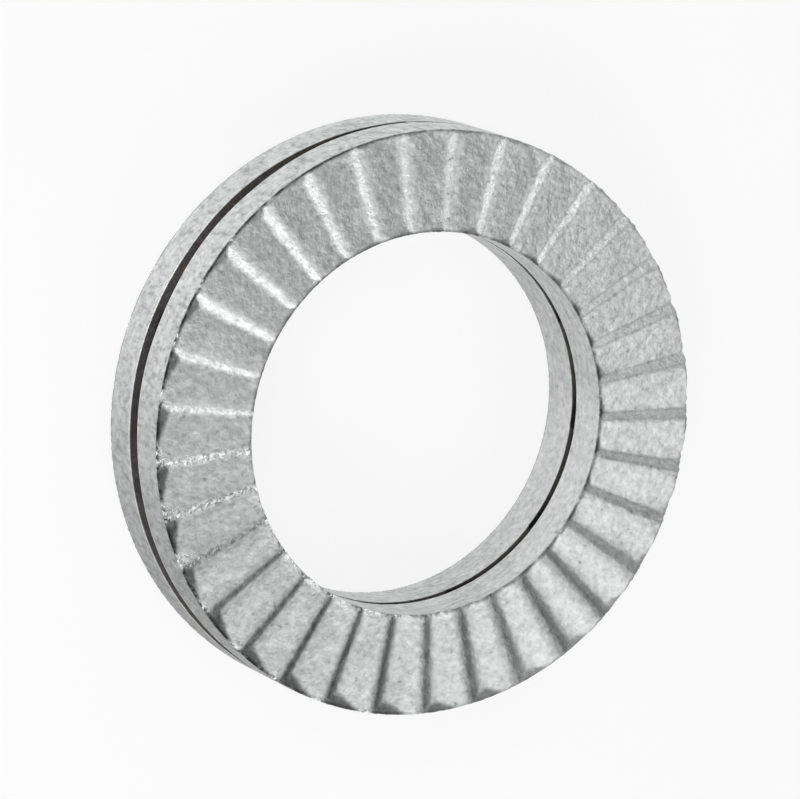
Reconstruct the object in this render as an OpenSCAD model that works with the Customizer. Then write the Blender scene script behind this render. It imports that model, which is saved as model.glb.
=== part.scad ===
// Wedge lock washer pair for an M8 bolt.
// Two like washers lie cam face to cam face. Teeth on the outer faces grip the bolt head and the work,
// and the cams between them climb faster than the thread does, so the bolt cannot turn loose.
// Millimetres, with the bore along Z and the tooth tips of the lower washer on z = 0.

/* [Washers] */
// Outside diameter
outer_d = 13.5; // [12.5:0.1:16]
// Bore diameter, a clearance for the bolt
bore_d = 8.8; // [8.3:0.1:9.6]
// Thickness of the pair over the tooth tips
pair_t = 2.6; // [2.2:0.05:3.4]

/* [Teeth] */
// Radial teeth on each outer face
tooth_count = 33; // [20:1:45]
// Depth of the valleys at the rim, which run shallower towards the bore
tooth_depth = 0.14; // [0.1:0.01:0.22]
// Share of each tooth that its steep flank takes up
flank_share = 0.2; // [0.12:0.01:0.3]
// How much of each tooth tip is pressed flat
tip_flat = 0.02; // [0.014:0.002:0.03]
// Length of the rounding at each tip, along the flank and along the ramp
tip_round = 0.12; // [0.04:0.01:0.16]
// Length of the rounding at the foot of each flank, along the flank and along the ramp
foot_round = 0.06; // [0.03:0.01:0.12]
// Width over which the valleys rise again at the rim and at the bore
valley_end_w = 0.24; // [0.16:0.02:0.5]

/* [Cams] */
// Wedge cams on each inner face
cam_count = 11; // [6:1:15]
// Rise of each cam ramp
cam_rise = 0.22; // [0.14:0.01:0.3]
// Angle over which a ramp drops back to the foot of the next one
cam_drop_angle = 1.6; // [0.8:0.1:4]
// Film of adhesive that holds the two cam faces together
bond_gap = 0.02; // [0.01:0.005:0.05]

/* [Edges] */
// Height of the rounded edges of the toothed face
face_edge_h = 0.06; // [0.04:0.01:0.09]
// Width of the rounded edges of the toothed face
face_edge_w = 0.16; // [0.1:0.01:0.25]
// Height of the relief of the cam face at the rim, which opens the seam there
seam_rim_h = 0.27; // [0.15:0.01:0.4]
// Width of the relief of the cam face at the rim
seam_rim_w = 0.6; // [0.3:0.05:0.8]
// Height of the relief of the cam face at the bore
seam_bore_h = 0.2; // [0.12:0.01:0.35]
// Width of the relief of the cam face at the bore
seam_bore_w = 0.45; // [0.25:0.05:0.7]

/* [Hidden] */
$fn = 96;

zinc_grey = [0.72, 0.73, 0.74];
rim_r = outer_d / 2;
bore_r = bore_d / 2;
half_t = pair_t / 2;
tooth_pitch = 360 / tooth_count;
cam_pitch = 360 / cam_count;
// Segments of a rounded edge, of a tooth tip, of a tooth foot and of a cam ramp
edge_steps = 4;
tip_steps = 4;
foot_steps = 2;
ramp_steps = 7;
// Reach of the cutting bodies past the ring
clear = 1;

// A point at a radius, an angle and a height
function polar(r, a, z) = [r * cos(a), r * sin(a), z];

// A quarter of an ellipse about a centre, counterclockwise from a start angle
function rounded_edge(r, z, w, h, start) =
    [for (i = [0:edge_steps]) let (a = start + 90 * i / edge_steps) [r + w * cos(a), z + h * sin(a)]];

// A smooth corner from a to c that leaves out the sharp point b
function blend(a, b, c, steps) =
    [for (i = [0:steps]) let (t = i / steps) a * (1 - t) * (1 - t) + b * 2 * t * (1 - t) + c * t * t];

// One tooth as shares of its pitch and of its depth: the rounded tip, then the rounded foot of its steep flank
last_foot = [flank_share - 1, 1];
foot = [flank_share, 1];
tip = [0, 0];
next_tip = [1, 0];
pitch_len = PI * outer_d / tooth_count;
flank_len = norm([flank_share * pitch_len, tooth_depth]);
ramp_len = norm([(1 - flank_share) * pitch_len, tooth_depth]);
tip_len = min(tip_round, 0.55 * flank_len);
foot_len = min(foot_round, 0.4 * flank_len);
tip_start = tip + (last_foot - tip) * tip_len / ramp_len;
tip_end = tip + (foot - tip) * tip_len / flank_len;
foot_start = foot + (tip - foot) * foot_len / flank_len;
foot_end = foot + (next_tip - foot) * foot_len / ramp_len;
tooth_profile = concat(
    blend(tip_start, tip, tip_end, tip_steps),
    blend(foot_start, foot, foot_end, foot_steps));

// Cam height over one pitch that is centred on the drop, as angle and height, and odd about the drop
cam_profile = concat(
    [[-cam_drop_angle / 2, cam_rise / 2]],
    [for (i = [0:ramp_steps - 1])
        [cam_drop_angle / 2 + (cam_pitch - cam_drop_angle) * i / ramp_steps,
         cam_rise * (i / ramp_steps - 0.5)]]);

// The ring before coining: a revolved section, rounded at the toothed face and relieved at the cam face
module blank() {
    cam_face = -cam_rise / 2;
    rotate_extrude()
        polygon(concat(
            [[rim_r - seam_rim_w, cam_face], [rim_r, cam_face + seam_rim_h]],
            rounded_edge(rim_r - face_edge_w, half_t - face_edge_h, face_edge_w, face_edge_h, 0),
            rounded_edge(bore_r + face_edge_w, half_t - face_edge_h, face_edge_w, face_edge_h, 90),
            [[bore_r, cam_face + seam_bore_h], [bore_r + seam_bore_w, cam_face]]));
}

// The band that the tooth valleys are pressed into, with ends that slope up to the rim and to the bore
module valley_band() {
    floor_z = half_t - 1.2 * tooth_depth;
    end_z = half_t - 0.7 * face_edge_h;
    slope = (end_z - floor_z) / valley_end_w;
    lid = half_t + clear;
    reach = (lid - end_z) / slope;
    rotate_extrude()
        polygon([
            [bore_r + valley_end_w, floor_z],
            [rim_r - valley_end_w, floor_z],
            [rim_r + reach, lid],
            [max(0, bore_r - reach), lid]]);
}

// Everything above the teeth. All tips and feet run to one point on the axis, so each flank is a plane.
module tooth_crown() {
    top = half_t + tip_flat;
    reach = rim_r + clear;
    drop = (tooth_depth + tip_flat) * reach / rim_r;
    ring = [for (k = [0:tooth_count - 1], p = tooth_profile)
        polar(reach, (k - 0.5 + p[0]) * tooth_pitch, top - drop * p[1])];
    n = len(ring);
    lid = [for (p = ring) [p[0], p[1], top + clear]];
    polyhedron(
        points = concat(ring, lid, [[0, 0, top], [0, 0, top + clear]]),
        faces = concat(
            [for (i = [0:n - 1]) [2 * n, i, (i + 1) % n]],
            [for (i = [0:n - 1]) [i, n + i, n + (i + 1) % n, (i + 1) % n]],
            [for (i = [0:n - 1]) [2 * n + 1, n + (i + 1) % n, n + i]]));
}

// Everything below the cams. Each strip of a ramp is split about its own middle,
// so the same washer turned over has the same facets and the two cam faces match.
module cam_bed() {
    inner = bore_r - 0.3;
    outer = rim_r + 0.5;
    line = [for (k = [0:cam_count - 1], p = cam_profile) [k * cam_pitch + p[0], p[1] + bond_gap / 2]];
    n = len(line);
    function after(i) = [line[(i + 1) % n][0] + (i == n - 1 ? 360 : 0), line[(i + 1) % n][1]];
    function middle(i) = (line[i] + after(i)) / 2;
    polyhedron(
        points = concat(
            [for (p = line) polar(inner, p[0], p[1])],
            [for (p = line) polar(outer, p[0], p[1])],
            [for (p = line) polar(inner, p[0], -clear)],
            [for (p = line) polar(outer, p[0], -clear)],
            [for (i = [0:n - 1]) polar((inner + outer) / 2, middle(i)[0], middle(i)[1])]),
        faces = [for (i = [0:n - 1]) let (j = (i + 1) % n)
            each [
                [4 * n + i, i, j],
                [4 * n + i, j, n + j],
                [4 * n + i, n + j, n + i],
                [4 * n + i, n + i, i],
                [i, 2 * n + i, 2 * n + j, j],
                [n + i, n + j, 3 * n + j, 3 * n + i],
                [2 * n + i, 3 * n + i, 3 * n + j, 2 * n + j]]]);
}

// One washer about the parting plane of the pair, teeth up and cams down
module washer() {
    difference() {
        blank();
        cam_bed();
        intersection() {
            valley_band();
            tooth_crown();
        }
    }
}

module upper_washer() {
    color(zinc_grey)
        translate([0, 0, half_t])
            washer();
}

module lower_washer() {
    color(zinc_grey)
        translate([0, 0, half_t])
            rotate([180, 0, 0])
                washer();
}

upper_washer();
lower_washer();
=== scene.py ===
"""Looks of the wedge lock washer pair: two coined, zinc flake coated washers that lie on a pale table."""
import math

import bpy
import numpy as np
from mathutils import Matrix, Quaternion, Vector


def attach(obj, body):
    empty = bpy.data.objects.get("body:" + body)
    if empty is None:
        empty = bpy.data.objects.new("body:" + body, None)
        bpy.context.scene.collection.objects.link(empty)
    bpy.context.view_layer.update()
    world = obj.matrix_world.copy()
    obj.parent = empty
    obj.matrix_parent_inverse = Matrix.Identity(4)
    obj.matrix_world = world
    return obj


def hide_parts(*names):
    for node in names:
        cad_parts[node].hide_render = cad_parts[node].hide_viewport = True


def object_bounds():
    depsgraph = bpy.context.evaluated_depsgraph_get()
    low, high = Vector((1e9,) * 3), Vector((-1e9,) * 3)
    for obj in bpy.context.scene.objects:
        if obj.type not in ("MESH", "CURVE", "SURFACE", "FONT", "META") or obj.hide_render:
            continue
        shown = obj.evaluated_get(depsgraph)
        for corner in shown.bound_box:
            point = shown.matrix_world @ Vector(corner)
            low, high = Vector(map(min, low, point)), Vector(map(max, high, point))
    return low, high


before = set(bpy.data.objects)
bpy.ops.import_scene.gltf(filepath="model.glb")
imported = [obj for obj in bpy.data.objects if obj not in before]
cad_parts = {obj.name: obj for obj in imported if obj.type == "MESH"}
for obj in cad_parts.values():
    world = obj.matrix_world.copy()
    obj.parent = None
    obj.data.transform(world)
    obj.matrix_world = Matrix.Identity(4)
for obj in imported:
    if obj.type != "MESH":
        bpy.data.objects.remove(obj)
cad_low, cad_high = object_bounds()

MM = 0.001
TURN = 2 * math.pi

# Sizes in millimetres, counts and angles, as in the solids
RIM_R = (cad_high.x - cad_low.x) / 2 / MM
HALF_T = (cad_high.z - cad_low.z) / 2 / MM
BORE_R = 4.4
MIDDLE_R = (RIM_R + BORE_R) / 2
TEETH = 33
TOOTH_DEPTH = 0.14
TOOTH_PITCH = TURN / TEETH
CAMS = 11
CAM_RISE = 0.22
CAM_PITCH = TURN / CAMS
CAM_DROP = math.radians(1.6)
TEETH_PER_CAM = TEETH // CAMS
BOND_GAP = 0.02
FACE_EDGE_H = 0.06
FACE_EDGE_W = 0.16
SEAM_RIM_W = 0.6
SEAM_BORE_W = 0.45

# Sizes in millimetres that the scene has for itself: a deeper seam, and small roundings
SEAM_RIM_H = 0.32
SEAM_BORE_H = 0.22
SEAM_ROUND = 0.02
CAM_ROUND = 0.03
FACE_ROUND = 0.02

# Flank of a tooth: its middle and its reach to the tip and to the foot, in shares of the pitch
FLANK_AT = 0.125
FLANK_TIP_W = 0.21
FLANK_FOOT_W = 0.16
SOFT_TIP_W = 0.42
SOFT_FOOT_W = 0.44

# Soft teeth: their share of the depth, and how far they lean round the ring
SOFT_DEPTH = 0.88
SOFT_LEAN = math.radians(0.4)

# Ends of the valleys, which rise again at the rim and at the bore: millimetres
LIP_DEPTH = 0.04
OPEN_DEPTH = 0.11
LIP_LIFT = 0.02
LIP_W = 0.34

# The same: a share of the width, and the floor as a share of the teeth's depth
LIP_SPREAD = 0.35
VALLEY_FLOOR = 1.2

# Unevenness of the teeth: an angle round the ring, and a share of the depth
WARP = math.radians(0.16)
UNEVEN = 0.06

# Lumps in the coat: height in millimetres, and waves across the face in radians per millimetre
LUMP_H = 0.004
LUMP_WAVES = 5
FINE_LUMP_WAVES = 9

# Unevenness of the seam and of the crumbled edges, in millimetres
SEAM_WAVE = 0.015
SEAM_CLOSE = 0.17
SEAM_WAVE_W = 0.4
RIM_SHRINK = 0.008
EDGE_CRUMBLE = 0.016
CRUMBLE_DOWN = 0.08
CRUMBLE_IN = 0.1

# How much more the edge has crumbled on the open side
OPEN_CRUMBLE = 4

# Painted shade at the feet, on the soft flanks and in a crease there, and crumbs with painted glints on the
# face: places and widths in shares of the pitch
FOOT_AT = 0.11
FOOT_W = 0.17
FLANK_SHADE_AT = 0.15
FLANK_SHADE_W = 0.3
CREASE_W = 0.03
GRIT_W = 0.1
GRITTY_FLANK_AT = FLANK_AT - 0.03
TIP_AT = -0.1
TIP_W = 0.13

# Painted shade in the valley ends, crumbs with painted glints, and dark edges: widths in millimetres
CORNER_LEAD = 0.02
CORNER_W = 0.045
BORE_GLINT_W = 0.09
TIP_GLINT_W = 0.15
DARK_EDGE_W = 0.06
DARK_EDGE_DOWN = 0.012

# Strengths of the marks, 1 for a full one: painted shade in the valley ends, at the feet, on the soft flanks
# and on one side of the rim and of the bore, painted glints, and dark edges
CORNER_RIM = 0.35
CORNER_RIM_LEFT = 0.65
CORNER_BORE = 0.4
CORNER_BORE_OPEN = 0.4
FOOT_LEAST = 0.05
FOOT_SOFTENED = 0.5
FLANK_SHADE = 0.26
FLANK_SHADE_UNEVEN = 0.5
CREASE_SHADE = 0.16
GRITTY_GLINTS = 0.75
DARK_EDGE_FULL = 1.5
RIM_DARK_EDGE = 0.6
RIM_DARK_EDGE_SWING = 0.75
RIM_DARK_EDGE_LEAST = 0.15
BORE_DARK_EDGE = 0.7
BORE_DARK_EDGE_SPARED = 0.4
RIM_SHADE = 0.75
BORE_SHADE = 0.3

# Sides of the ring where something is strongest, and the width of the gritty one as a share of the turn
SEAM_TIGHT = math.radians(90)
# Painted shade in the valley ends by the rim and painted glints at the tips are strongest on the left side
# of the ring, where the valley ends are also shallower and wider
LEFT_AT = math.radians(215)
# Painted shade at the feet, and painted glints at the bore, are strongest on the under side
UNDER_AT = math.radians(245)
OPEN_AT = math.radians(27)
# Painted shade on the rim is strongest towards this side
RIM_SHADED_AT = math.radians(236)
# Dark edges of the rim are strongest towards this side
DARK_EDGE_AT = math.radians(185)
# Painted shade in the bore is strongest towards this side
BORE_SHADED_AT = math.radians(68)
# The bore is painted lighter towards this side, with fainter streaks, where light falls on it
BORE_LIT_AT = math.radians(-15)
SOFT_AT = math.radians(300)
LEAN_AT = math.radians(292)
GRITTY_AT = math.radians(199)
GRITTY_TURN_W = 0.045

# Steps of the mesh: along the pitch, around the rounded edges, across the faces and down the walls
FINE_FROM = -0.2
FINE_TO = 0.32
FINE_STEPS = 20
COARSE_TO = 0.8
COARSE_STEPS = 7
DROP_AT = 0.5
DROP_STEPS = (-0.1, -0.073, -0.04, 0.0, 0.04, 0.073, 0.1)
SAME_ANGLE = 1e-5
TABLE_STEPS = 1025
EDGE_STEPS = 9
FACE_STEPS = 34
CAM_STEPS = 15
RIM_STEPS = np.concatenate([[0.015, 0.04, 0.08], np.linspace(0.15, 0.85, 9), [0.92, 0.97]])[None, :]
BORE_STEPS = np.concatenate([[0.03, 0.08], np.linspace(0.15, 0.85, 8), [0.92, 0.96, 0.985]])[None, :]

# Coat: features per millimetre
BROAD_SCALE = 1.1
GRAIN_SCALE = 6.5
PATCH_SCALE = 5.0
CHIP_SCALE = 9.0
ROUGH_SCALE = 7.0
PEEL_SCALES = (8.0, 3.5)
GRIT_SCALE = 13.0
RIM_STREAKS = (6, 6, 2.4)
BORE_STREAKS = (2.0, 2.0, 11)

# Coat: shares, greys, roughness, and the bump in millimetres
RIM_STREAK_SHARE = 0.6
BORE_STREAK_SHARE = 0.6
GRAIN_SHARE = 0.5
PIT_SHARE = 0.7
DARK_EDGE_GREY = 0.1
SHADE_AND_DIRT_GREY = 0.22
# Near-white of the painted glints
GLINT_GREY = 0.99
# Painted shade in the seam between the washers: the cam faces are near black
SEAM_SHADE_COLOR = (0.07, 0.064, 0.058)
ROUGH_LEAST = 0.36
ROUGH_SPREAD = 0.24
METALLIC = 0.88
BUMP_STRENGTH = 0.8
BUMP_H = 0.02
GRIT_BUMP = 1.3
CRUMB_BUMP = 1.2

# Table, which reaches so many metres to each side, and room
FLOOR_REACH = 4.0
FLOOR_GREY = 0.8
WHITE_SHARE = 0.85
ROOM_LIGHT = 0.07

# Camera: directions round the washers are counted from its tilt direction, which lies VIEW_TURN from +X
VIEW_TURN = math.radians(-14.76)
VIEW_TILT = 0.49939718
VIEW_ROLL = -0.38189004
VIEW_DISTANCE = 20.274 * RIM_R * MM
VIEW_OFFSET = (0.0121 * RIM_R * MM, -0.05066 * RIM_R * MM)
LENS_MM = 270.0
SENSOR_MM = 36.0
CLIP_START = 0.01
CLIP_END = 10.0

# Soft lamps: degrees round the washers and above the table, metres wide and high, watts, degrees of roll
LAMP_DISTANCE = 0.09
LAMPS = {
    "key low": (302, 20, 0.06, 0.026, 0.028, -25),
    "key high": (256, 41, 0.07, 0.026, 0.027, -25),
    "left fill": (162, 52, 0.05, 0.04, 0.02, 0),
    "back fill": (98, 42, 0.06, 0.05, 0.0115, 0),
    "low back": (52, 18, 0.05, 0.03, 0.006, 0),
    "top light": (-24, 60, 0.07, 0.06, 0.0222, 0),
    "low left": (175, 10, 0.05, 0.03, 0.048, 0),
}


def smooth_min(a, b, k):
    """The lower of two heights, with a corner rounded over about k."""
    h = np.clip(0.5 + 0.5 * (b - a) / k, 0, 1)
    return b * (1 - h) + a * h - k * h * (1 - h)


def smooth_max(a, b, k):
    """The higher of two heights, rounded in the same way."""
    return -smooth_min(-a, -b, k)


def edge_fall(distance, width, height):
    """How far a rounded edge has fallen at a distance from the rim or the bore."""
    x = np.clip((width - distance) / width, 0, 1)
    return height * (1 - np.sqrt(1 - x * x))


def from_walls(radius):
    """Distance from the rim or the bore, whichever is nearer."""
    return np.minimum(RIM_R - radius, radius - BORE_R)


def side(angle, at, narrow=1):
    """1 at one side of the ring, falling to 0 a quarter turn away, and sooner the narrower it is."""
    return np.clip(np.cos(angle - at), 0, 1) ** narrow


def near_share(u, at, width):
    """1 at one share of the pitch or of the turn, and less over a width to both sides."""
    off = (u - at + 0.5) % 1.0 - 0.5
    return np.exp(-(off / width) ** 2)


def ripple(angle, rng, fewest, most, terms):
    """A gentle random wave round the ring, mostly between -1 and 1: a sum of sines."""
    out = np.zeros_like(angle)
    for _ in range(terms):
        out += np.sin(rng.integers(fewest, most) * angle + rng.uniform(0, TURN))
    return out / math.sqrt(terms)


def tooth_depth(place, tip_w, foot_w):
    """Depth of a tooth with an S-shaped flank at a place in its pitch, 0 at the tip and 1 at the foot."""
    u = np.linspace(0, 1, TABLE_STEPS)
    height = u.copy()
    for turn in (0, 1):
        x = u - FLANK_AT - turn
        tip_side = np.clip(x, -tip_w, 0) / tip_w
        foot_side = np.clip(x, 0, foot_w) / foot_w
        drop = tip_w * (1 + tip_side + np.sin(math.pi * tip_side) / math.pi)
        drop += foot_w * (foot_side + np.sin(math.pi * foot_side) / math.pi)
        height -= drop / (tip_w + foot_w)
    depth = height.max() - height
    return np.interp(place, u, depth / depth.max())


def cam_height(angle):
    """Height of the cam faces: long ramps that climb counterclockwise and drop back steeply."""
    a = (angle + CAM_DROP / 2) % CAM_PITCH
    down = CAM_RISE * (0.5 - a / CAM_DROP)
    up = CAM_RISE * ((a - CAM_DROP) / (CAM_PITCH - CAM_DROP) - 0.5)
    return np.where(a < CAM_DROP, down, up)


def mesh_angles():
    """Angles of the mesh, close together at the flanks of the teeth and at the drops of the cams."""
    fine = np.linspace(FINE_FROM, FINE_TO, FINE_STEPS, endpoint=False)
    coarse = np.linspace(FINE_TO, COARSE_TO, COARSE_STEPS, endpoint=False)
    plain = np.concatenate([fine, coarse])
    with_drop = np.concatenate([plain, DROP_AT + np.array(DROP_STEPS)])
    out = []
    for k in range(TEETH):
        shares = with_drop if k % TEETH_PER_CAM == 0 else plain
        out.append((k - 0.5 + np.sort(shares)) * TOOTH_PITCH)
    angles = np.concatenate(out)
    keep = np.append(np.diff(angles) > SAME_ANGLE, True)
    return angles[keep][:, None]


def face_radii():
    """Radii of the toothed face from the bore to the rim, close together at its rounded edges."""
    quarter = np.linspace(0, math.pi / 2, EDGE_STEPS)
    edge = FACE_EDGE_W * (1 - np.sin(quarter))
    inner = BORE_R + edge[::-1]
    outer = RIM_R - edge
    between = np.linspace(inner[-1], outer[0], FACE_STEPS)
    return np.concatenate([inner[:-1], between, outer[1:]])[None, :]


def cam_radii():
    """Radii of the cam face from the rim to the bore, close together at its rolled edges."""
    quarter = np.linspace(0, math.pi / 2, EDGE_STEPS)[::2]
    roll = SEAM_ROUND * (1 - np.sin(quarter))
    flat = np.linspace(RIM_R - SEAM_ROUND, BORE_R + SEAM_ROUND, CAM_STEPS)
    return np.concatenate([RIM_R - roll[::-1], flat[1:-1], BORE_R + roll])[None, :]


def toothed_face(angle, radius, rng):
    """Heights of the toothed face above the parting plane, its painted shade with some dirt, its crumbs with
    painted glints, and its gritty flanks.
    """
    left_side = side(angle, LEFT_AT)
    under_side = side(angle, UNDER_AT)
    open_side = side(angle, OPEN_AT)
    soft = side(angle, SOFT_AT, narrow=3)
    outer_half = radius > MIDDLE_R

    # Teeth
    warp = WARP * ripple(angle, rng, fewest=3, most=17, terms=5)
    lean = SOFT_LEAN * side(angle, LEAN_AT, narrow=6)
    u = ((angle + warp + lean) / TOOTH_PITCH + 0.5) % 1.0
    wander = ripple(angle, rng, fewest=5, most=30, terms=6)
    depth = (1 - soft) * tooth_depth(u, FLANK_TIP_W, FLANK_FOOT_W)
    depth = depth + soft * SOFT_DEPTH * tooth_depth(u, SOFT_TIP_W, SOFT_FOOT_W)
    tooth = -TOOTH_DEPTH * (1 + UNEVEN * wander) * (radius / RIM_R) * depth

    # Valley ends, lumps in the coat and rounded edges
    lip = LIP_DEPTH + outer_half * ((OPEN_DEPTH - LIP_DEPTH) * open_side - LIP_LIFT * left_side)
    lip_w = LIP_W * (1 + LIP_SPREAD * left_side * outer_half)
    valley_end = -lip - (VALLEY_FLOOR * TOOTH_DEPTH - lip) * from_walls(radius) / lip_w
    height = smooth_max(tooth, valley_end, FACE_ROUND)
    lumps = 0.5 * ripple(angle, rng, fewest=20, most=60, terms=6)
    lumps = lumps * np.sin(radius * LUMP_WAVES + rng.uniform(0, 6))
    finer = 0.5 * ripple(angle, rng, fewest=40, most=90, terms=6)
    finer = finer * np.cos(radius * FINE_LUMP_WAVES + rng.uniform(0, 6))
    height = height + LUMP_H * (lumps + finer)
    fall = -edge_fall(from_walls(radius), FACE_EDGE_W, FACE_EDGE_H)
    height = np.minimum(smooth_min(height, fall, FACE_ROUND), 0) + HALF_T

    # Painted shade in the valley ends, at the feet and in a crease at the feet of the soft flanks, and a
    # wider painted shade with some dirt on the soft flanks
    corner = np.clip((valley_end - tooth + CORNER_LEAD) / CORNER_W, 0, 1)
    rim_corner = CORNER_RIM + CORNER_RIM_LEFT * left_side
    bore_corner = CORNER_BORE + CORNER_BORE_OPEN * open_side
    corner = corner * np.where(outer_half, rim_corner, bore_corner)
    foot = near_share(u, FOOT_AT, FOOT_W) * (FOOT_LEAST + (1 - FOOT_LEAST) * under_side)
    foot = foot * (1 - FOOT_SOFTENED * soft)
    flank_shade = FLANK_SHADE * soft * near_share(u, FLANK_SHADE_AT, FLANK_SHADE_W) * np.clip(1 + FLANK_SHADE_UNEVEN * wander, 0, 2)
    flank_shade = flank_shade + CREASE_SHADE * soft * near_share(u, FOOT_AT, CREASE_W)
    shade_and_dirt = np.clip(np.maximum(corner, foot) + flank_shade, 0, 1)

    # Crumbs with painted glints at the bore, at the tips by the rim and on a few flanks
    gritty_side = near_share(angle / TURN, GRITTY_AT / TURN, GRITTY_TURN_W)
    crumbs_and_glints = np.exp((BORE_R - radius) / BORE_GLINT_W) * under_side ** 2
    crumbs_and_glints = crumbs_and_glints + np.exp((radius - RIM_R) / TIP_GLINT_W) * near_share(u, TIP_AT, TIP_W) * left_side
    crumbs_and_glints = crumbs_and_glints + GRITTY_GLINTS * gritty_side * near_share(u, GRITTY_FLANK_AT, GRIT_W)
    return height, shade_and_dirt, np.clip(crumbs_and_glints, 0, 1), near_share(u, FLANK_AT, GRIT_W)


def cam_face(angle, radius, rng, tight):
    """Heights of the cam face above the parting plane, with a relief that opens the seam at both walls."""
    cam = cam_height(angle) + BOND_GAP / 2
    rim_fall = SEAM_RIM_H * np.clip(1 - (RIM_R - radius) / SEAM_RIM_W, 0, 1)
    bore_fall = SEAM_BORE_H * np.clip(1 - (radius - BORE_R) / SEAM_BORE_W, 0, 1)
    wave = SEAM_WAVE * ripple(angle, rng, fewest=8, most=15, terms=4)
    wave = wave - SEAM_CLOSE * side(angle, tight, narrow=8)
    near_rim = np.clip(1 - (RIM_R - radius) / SEAM_WAVE_W, 0, 1)
    relief = rim_fall + bore_fall - CAM_RISE / 2 + near_rim * wave
    return smooth_max(cam, relief, CAM_ROUND) + edge_fall(from_walls(radius), SEAM_ROUND, SEAM_ROUND)


def washer_mesh(name, seed, upside_down):
    """One washer about the parting plane, teeth up and cams down, or turned over for the lower one."""
    rng = np.random.default_rng(seed)
    flip = -1 if upside_down else 1
    angle = mesh_angles()
    face_r = face_radii()
    cam_r = cam_radii()
    face_z, shade_and_dirt, crumbs_and_glints, flank = toothed_face(angle, face_r, rng)
    cam_z = cam_face(angle, cam_r, rng, flip * SEAM_TIGHT)

    # Rim and bore walls run between the two faces
    rim_z = face_z[:, -1:] * (1 - RIM_STEPS) + cam_z[:, :1] * RIM_STEPS
    bore_z = cam_z[:, -1:] * (1 - BORE_STEPS) + face_z[:, :1] * BORE_STEPS
    down_rim = rim_z - face_z[:, -1:]
    down_bore = bore_z - face_z[:, :1]
    loops = (face_z, rim_z, cam_z, bore_z)

    def all_round(face=0.0, rim=0.0, cam=0.0, bore=0.0):
        """One value for every point of the mesh, from those of its four surfaces."""
        parts = zip((face, rim, cam, bore), loops)
        return np.concatenate([np.broadcast_to(part, loop.shape) for part, loop in parts], axis=1)

    # Marks for the coat
    # Darker along the edges of the faces, the rim and the bore; at the rim most towards one side, in the
    # bore least on the under side
    rim_dark_edge = np.clip(RIM_DARK_EDGE + RIM_DARK_EDGE_SWING * np.cos(angle - DARK_EDGE_AT), RIM_DARK_EDGE_LEAST, 1)
    bore_dark_edge = BORE_DARK_EDGE - BORE_DARK_EDGE_SPARED * side(angle, UNDER_AT, narrow=2)
    face_dark_edge = np.clip(DARK_EDGE_FULL - from_walls(face_r) / DARK_EDGE_W, 0, 1)
    marks = {
        "dark_edge": all_round(
            face=face_dark_edge * np.where(face_r > MIDDLE_R, rim_dark_edge, bore_dark_edge),
            rim=np.exp(down_rim / DARK_EDGE_DOWN) * rim_dark_edge,
            bore=np.exp(down_bore / DARK_EDGE_DOWN) * bore_dark_edge,
        ),
        # Painted shade with some dirt: in the valley ends, at the feet and on the soft flanks, and towards
        # one side of the rim and of the bore
        "shade_and_dirt": all_round(
            face=shade_and_dirt,
            rim=RIM_SHADE * side(angle, flip * RIM_SHADED_AT, narrow=2),
            bore=BORE_SHADE * side(angle, flip * BORE_SHADED_AT, narrow=2),
        ),
        "crumbs_and_glints": all_round(face=crumbs_and_glints),
        "flank_zone": all_round(face=flank),
        "rim_zone": all_round(rim=1.0),
        # The cam faces, painted near black as the shade in the seam
        "seam_shade_zone": all_round(cam=np.clip(from_walls(cam_r) / SEAM_ROUND, 0, 1)),
        # Fainter streaks on the painted-lit side of the bore
        "bore_zone": all_round(bore=1 - side(angle, flip * BORE_LIT_AT, narrow=6)),
    }

    # Crumbled outer edges
    r = all_round(face=face_r, rim=RIM_R, cam=cam_r, bore=BORE_R)
    z = np.concatenate(loops, axis=1)
    near_face = all_round(
        face=1.0,
        rim=np.exp(down_rim / CRUMBLE_DOWN),
        bore=np.exp(down_bore / CRUMBLE_DOWN),
    )
    broken = 0.5 + 0.25 * ripple(angle, rng, fewest=60, most=300, terms=12)
    crumble = EDGE_CRUMBLE * broken.clip(0, 1)
    rim_bite = RIM_SHRINK + crumble * (1 + OPEN_CRUMBLE * side(angle, OPEN_AT, narrow=3)) * near_face
    bore_bite = crumble[::-1] * near_face
    r = r - rim_bite * np.exp((r - RIM_R) / CRUMBLE_IN)
    r = r + bore_bite * np.exp((BORE_R - r) / CRUMBLE_IN)
    place = [r * np.cos(angle), flip * r * np.sin(angle), flip * z + HALF_T]
    verts = np.stack(place, axis=2).reshape(-1, 3) * MM

    # Closed rings of quads
    index = np.arange(r.size).reshape(r.shape)
    across = np.roll(index, -1, axis=1)
    along = np.roll(index, -1, axis=0)
    both = np.roll(across, -1, axis=0)
    quads = np.stack([index, across, both, along], axis=2).reshape(-1, 4)

    mesh = bpy.data.meshes.new(name)
    mesh.from_pydata(verts.tolist(), [], quads.tolist())
    mesh.polygons.foreach_set("use_smooth", [True] * len(mesh.polygons))
    for mark, values in marks.items():
        attribute = mesh.attributes.new(mark, "FLOAT", "POINT")
        attribute.data.foreach_set("value", values.astype(np.float32).ravel())
    mesh.validate()
    mesh.update()
    return mesh


def add_washer(name, node, seed, upside_down, material):
    """A detailed washer that stands for one node of the solids."""
    piece = bpy.data.objects.new(name, washer_mesh(name, seed, upside_down))
    bpy.context.scene.collection.objects.link(piece)
    piece.data.materials.append(material)
    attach(piece, "root")
    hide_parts(node)


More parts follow.
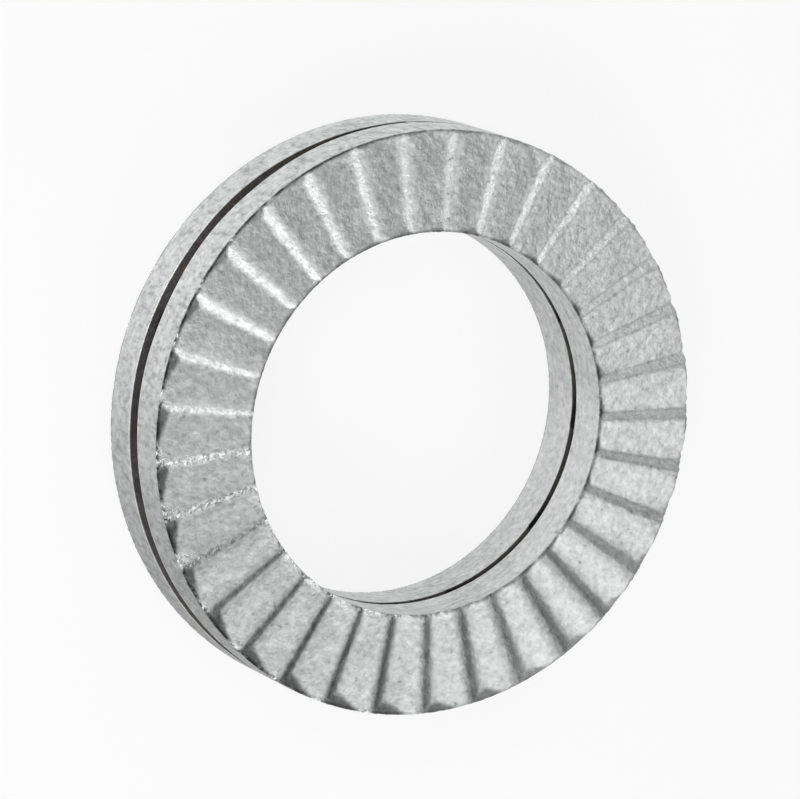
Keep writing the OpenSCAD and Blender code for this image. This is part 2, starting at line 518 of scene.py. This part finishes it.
class Nodes:
    """Short calls for building the node tree of a material or of the world."""

    def __init__(self, owner):
        owner.use_nodes = True
        self.tree = owner.node_tree
        self.tree.nodes.clear()

    def add(self, kind, **values):
        node = self.tree.nodes.new(kind)
        for key, value in values.items():
            setattr(node, key, value)
        return node

    def link(self, source, target):
        self.tree.links.new(source, target)

    def noise(self, vector, scale, detail=2.0, roughness=0.5):
        node = self.add("ShaderNodeTexNoise")
        node.inputs["Scale"].default_value = scale
        node.inputs["Detail"].default_value = detail
        node.inputs["Roughness"].default_value = roughness
        self.link(vector, node.inputs["Vector"])
        return node.outputs["Fac"]

    def ramp(self, value, stops):
        node = self.add("ShaderNodeValToRGB")
        ramp = node.color_ramp
        ramp.elements[0].position, ramp.elements[0].color = stops[0][0], (*stops[0][1], 1)
        ramp.elements[1].position, ramp.elements[1].color = stops[-1][0], (*stops[-1][1], 1)
        for position, color in stops[1:-1]:
            ramp.elements.new(position).color = (*color, 1)
        self.link(value, node.inputs["Fac"])
        return node.outputs["Color"]

    def mix(self, mode, factor, a, b):
        node = self.add("ShaderNodeMix", data_type="RGBA", blend_type=mode)
        if isinstance(factor, float):
            node.inputs["Factor"].default_value = factor
        else:
            self.link(factor, node.inputs["Factor"])
        self.link(a, node.inputs["A"])
        if isinstance(b, tuple):
            node.inputs["B"].default_value = (*b, 1)
        else:
            self.link(b, node.inputs["B"])
        return node.outputs["Result"]

    def math(self, operation, a, b):
        node = self.add("ShaderNodeMath", operation=operation)
        for socket, value in zip(node.inputs, (a, b)):
            if isinstance(value, (int, float)):
                socket.default_value = value
            else:
                self.link(value, socket)
        return node.outputs["Value"]

    def stretch(self, vector, scale, offset=(0, 0, 0)):
        node = self.add("ShaderNodeMapping")
        node.inputs["Location"].default_value = offset
        node.inputs["Scale"].default_value = scale
        self.link(vector, node.inputs["Vector"])
        return node.outputs["Vector"]

    def attribute(self, name):
        return self.add("ShaderNodeAttribute", attribute_name=name).outputs["Fac"]


def grey(value):
    """A neutral grey."""
    return (value, value, value)


def zinc(value):
    """The coat's grey, a little cool."""
    return (0.985 * value, value, 0.998 * value)


def darken(t, color, mark, least):
    """Darkens a colour by a mark, down to the given share where the mark is 1."""
    return t.mix("MULTIPLY", 1.0, color, t.ramp(mark, [(0.0, grey(1.0)), (1.0, least)]))


def coat_color(t, per_mm, bright):
    """Grain and pits, streaks on the rim and in the bore, dark edges, painted shade with some dirt, painted
    glints and the painted shade of the seam.
    """
    broad = t.ramp(t.noise(per_mm, BROAD_SCALE, 3), [(0.3, zinc(0.6)), (0.7, zinc(0.74))])
    flakes = t.noise(per_mm, GRAIN_SCALE, 4, 0.6)
    grain = t.ramp(flakes, [(0.3, zinc(0.41)), (0.5, zinc(0.68)), (0.7, zinc(0.96))])
    color = t.mix("MIX", GRAIN_SHARE, broad, grain)
    pits = t.ramp(t.noise(per_mm, GRAIN_SCALE, 5, 0.7), [(0.29, grey(0.3)), (0.36, grey(1.0))])
    color = t.mix("MULTIPLY", PIT_SHARE, color, pits)
    axial = t.noise(t.stretch(per_mm, RIM_STREAKS), 1.0, 4, 0.65)
    streak = t.ramp(axial, [(0.34, grey(0.4)), (0.5, grey(0.95)), (0.66, grey(1.0))])
    on_rim = t.math("MULTIPLY", t.attribute("rim_zone"), RIM_STREAK_SHARE)
    color = t.mix("MULTIPLY", on_rim, color, streak)
    rings = t.noise(t.stretch(per_mm, BORE_STREAKS), 1.0, 4, 0.7)
    turned = t.ramp(rings, [(0.34, grey(0.5)), (0.5, grey(0.9)), (0.62, grey(1.0))])
    # Streaks in the bore, fainter on its painted-lit side
    in_bore = t.math("MULTIPLY", t.attribute("bore_zone"), BORE_STREAK_SHARE)
    color = t.mix("MULTIPLY", in_bore, color, turned)
    patchy = t.noise(per_mm, PATCH_SCALE, 3, 0.6)
    gaps = t.ramp(patchy, [(0.3, grey(0.35)), (0.5, grey(1.0))])
    # Darker along the edges, in patches
    color = darken(t, color, t.math("MULTIPLY", t.attribute("dark_edge"), gaps), grey(DARK_EDGE_GREY))
    # Painted shade with some dirt, in patches
    blots = t.ramp(patchy, [(0.3, grey(0.7)), (0.6, grey(1.0))])
    color = darken(t, color, t.math("MULTIPLY", t.attribute("shade_and_dirt"), blots), grey(SHADE_AND_DIRT_GREY))
    # Painted glints: the coat turns near white on the crumbs
    color = t.mix("MIX", bright, color, zinc(GLINT_GREY))
    # Painted shade in the seam between the washers
    return darken(t, color, t.attribute("seam_shade_zone"), SEAM_SHADE_COLOR)


def coat_bump(t, per_mm, bright):
    """A fine orange peel, with grit on the flanks and on the crumbs that carry the painted glints."""
    fine, coarse = PEEL_SCALES
    height = t.math("ADD", t.noise(per_mm, fine, 3, 0.55), t.noise(per_mm, coarse, 2))
    grit = t.math("MULTIPLY", t.noise(per_mm, GRIT_SCALE, 2), t.attribute("flank_zone"))
    height = t.math("ADD", height, t.math("MULTIPLY", grit, GRIT_BUMP))
    height = t.math("ADD", height, t.math("MULTIPLY", bright, CRUMB_BUMP))
    bump = t.add("ShaderNodeBump")
    bump.inputs["Strength"].default_value = BUMP_STRENGTH
    bump.inputs["Distance"].default_value = BUMP_H * MM
    t.link(height, bump.inputs["Height"])
    return bump.outputs["Normal"]


def zinc_flake(name, offset):
    """The silver-grey flake coat of one washer, shifted so that no two have the same grain."""
    material = bpy.data.materials.new(name)
    t = Nodes(material)
    place = t.add("ShaderNodeTexCoord").outputs["Object"]
    per_mm = t.stretch(place, (1 / MM, 1 / MM, 1 / MM), offset)
    # Painted glints in small chips where the crumbs are
    chips = t.ramp(t.noise(per_mm, CHIP_SCALE, 3, 0.6), [(0.42, grey(0.0)), (0.56, grey(1.0))])
    bright = t.math("MULTIPLY", t.attribute("crumbs_and_glints"), chips)
    rough = t.math("MULTIPLY", t.noise(per_mm, ROUGH_SCALE, 3), ROUGH_SPREAD)
    shader = t.add("ShaderNodeBsdfPrincipled")
    shader.inputs["Metallic"].default_value = METALLIC
    t.link(coat_color(t, per_mm, bright), shader.inputs["Base Color"])
    t.link(t.math("ADD", rough, ROUGH_LEAST), shader.inputs["Roughness"])
    t.link(coat_bump(t, per_mm, bright), shader.inputs["Normal"])
    out = t.add("ShaderNodeOutputMaterial")
    t.link(shader.outputs["BSDF"], out.inputs["Surface"])
    return material


def add_floor():
    """A pale table, which looks white to the camera and in reflections and keeps the washers' shadow."""
    mesh = bpy.data.meshes.new("floor")
    s = FLOOR_REACH
    mesh.from_pydata([(-s, -s, 0), (s, -s, 0), (s, s, 0), (-s, s, 0)], [], [(0, 1, 2, 3)])
    floor = bpy.data.objects.new("floor", mesh)
    bpy.context.scene.collection.objects.link(floor)
    material = bpy.data.materials.new("table")
    t = Nodes(material)
    paper = t.add("ShaderNodeBsdfDiffuse")
    paper.inputs["Color"].default_value = (*grey(FLOOR_GREY), 1)
    white = t.add("ShaderNodeEmission")
    white.inputs["Strength"].default_value = 1.0
    path = t.add("ShaderNodeLightPath")
    seen = t.math("MAXIMUM", path.outputs["Is Camera Ray"], path.outputs["Is Glossy Ray"])
    seen = t.math("MAXIMUM", seen, path.outputs["Is Transmission Ray"])
    mix = t.add("ShaderNodeMixShader")
    t.link(t.math("MULTIPLY", seen, WHITE_SHARE), mix.inputs["Fac"])
    t.link(paper.outputs["BSDF"], mix.inputs[1])
    t.link(white.outputs["Emission"], mix.inputs[2])
    out = t.add("ShaderNodeOutputMaterial")
    t.link(mix.outputs["Shader"], out.inputs["Surface"])
    mesh.materials.append(material)


def add_camera():
    """The camera at the photograph's viewing angle."""
    data = bpy.data.cameras.new("camera")
    data.sensor_width = SENSOR_MM
    data.lens = LENS_MM
    data.clip_start = CLIP_START
    data.clip_end = CLIP_END
    camera = bpy.data.objects.new("camera", data)
    bpy.context.scene.collection.objects.link(camera)
    to_camera = Matrix.Rotation(VIEW_ROLL, 3, "Z") @ Matrix.Rotation(VIEW_TILT, 3, "Y")
    axes = Matrix.Rotation(VIEW_TURN, 3, "Z") @ to_camera.transposed()
    place = axes @ Vector((-VIEW_OFFSET[0], -VIEW_OFFSET[1], VIEW_DISTANCE))
    place.z += HALF_T * MM
    camera.matrix_world = Matrix.Translation(place) @ axes.to_4x4()
    bpy.context.scene.camera = camera


def add_softbox(name, around_deg, up_deg, width, height, power, roll_deg):
    """A soft lamp that looks at the washers from an angle round them and an angle above the table."""
    data = bpy.data.lights.new(name, "AREA")
    data.shape = "RECTANGLE"
    data.size = width
    data.size_y = height
    data.energy = power
    lamp = bpy.data.objects.new(name, data)
    bpy.context.scene.collection.objects.link(lamp)
    a = math.radians(around_deg) + VIEW_TURN
    e = math.radians(up_deg)
    back = Vector((math.cos(e) * math.cos(a), math.cos(e) * math.sin(a), math.sin(e)))
    lamp.location = back * LAMP_DISTANCE + Vector((0, 0, HALF_T * MM))
    roll = Quaternion((0, 0, 1), math.radians(roll_deg))
    lamp.rotation_mode = "QUATERNION"
    lamp.rotation_quaternion = back.to_track_quat("Z", "Y") @ roll


def add_world():
    """A dim plain room."""
    world = bpy.data.worlds.new("studio")
    bpy.context.scene.world = world
    t = Nodes(world)
    room = t.add("ShaderNodeBackground")
    room.inputs["Strength"].default_value = ROOM_LIGHT
    out = t.add("ShaderNodeOutputWorld")
    t.link(room.outputs["Background"], out.inputs["Surface"])


upper_coat = zinc_flake("upper zinc flake", (0, 0, 0))
lower_coat = zinc_flake("lower zinc flake", (31, 7, 13))
add_washer("upper_coined", "upper_washer", 11, False, upper_coat)
add_washer("lower_coined", "lower_washer", 29, True, lower_coat)
add_floor()
add_camera()
add_world()
for lamp_name, values in LAMPS.items():
    add_softbox(lamp_name, *values)

bpy.context.scene.view_settings.view_transform = "Standard"
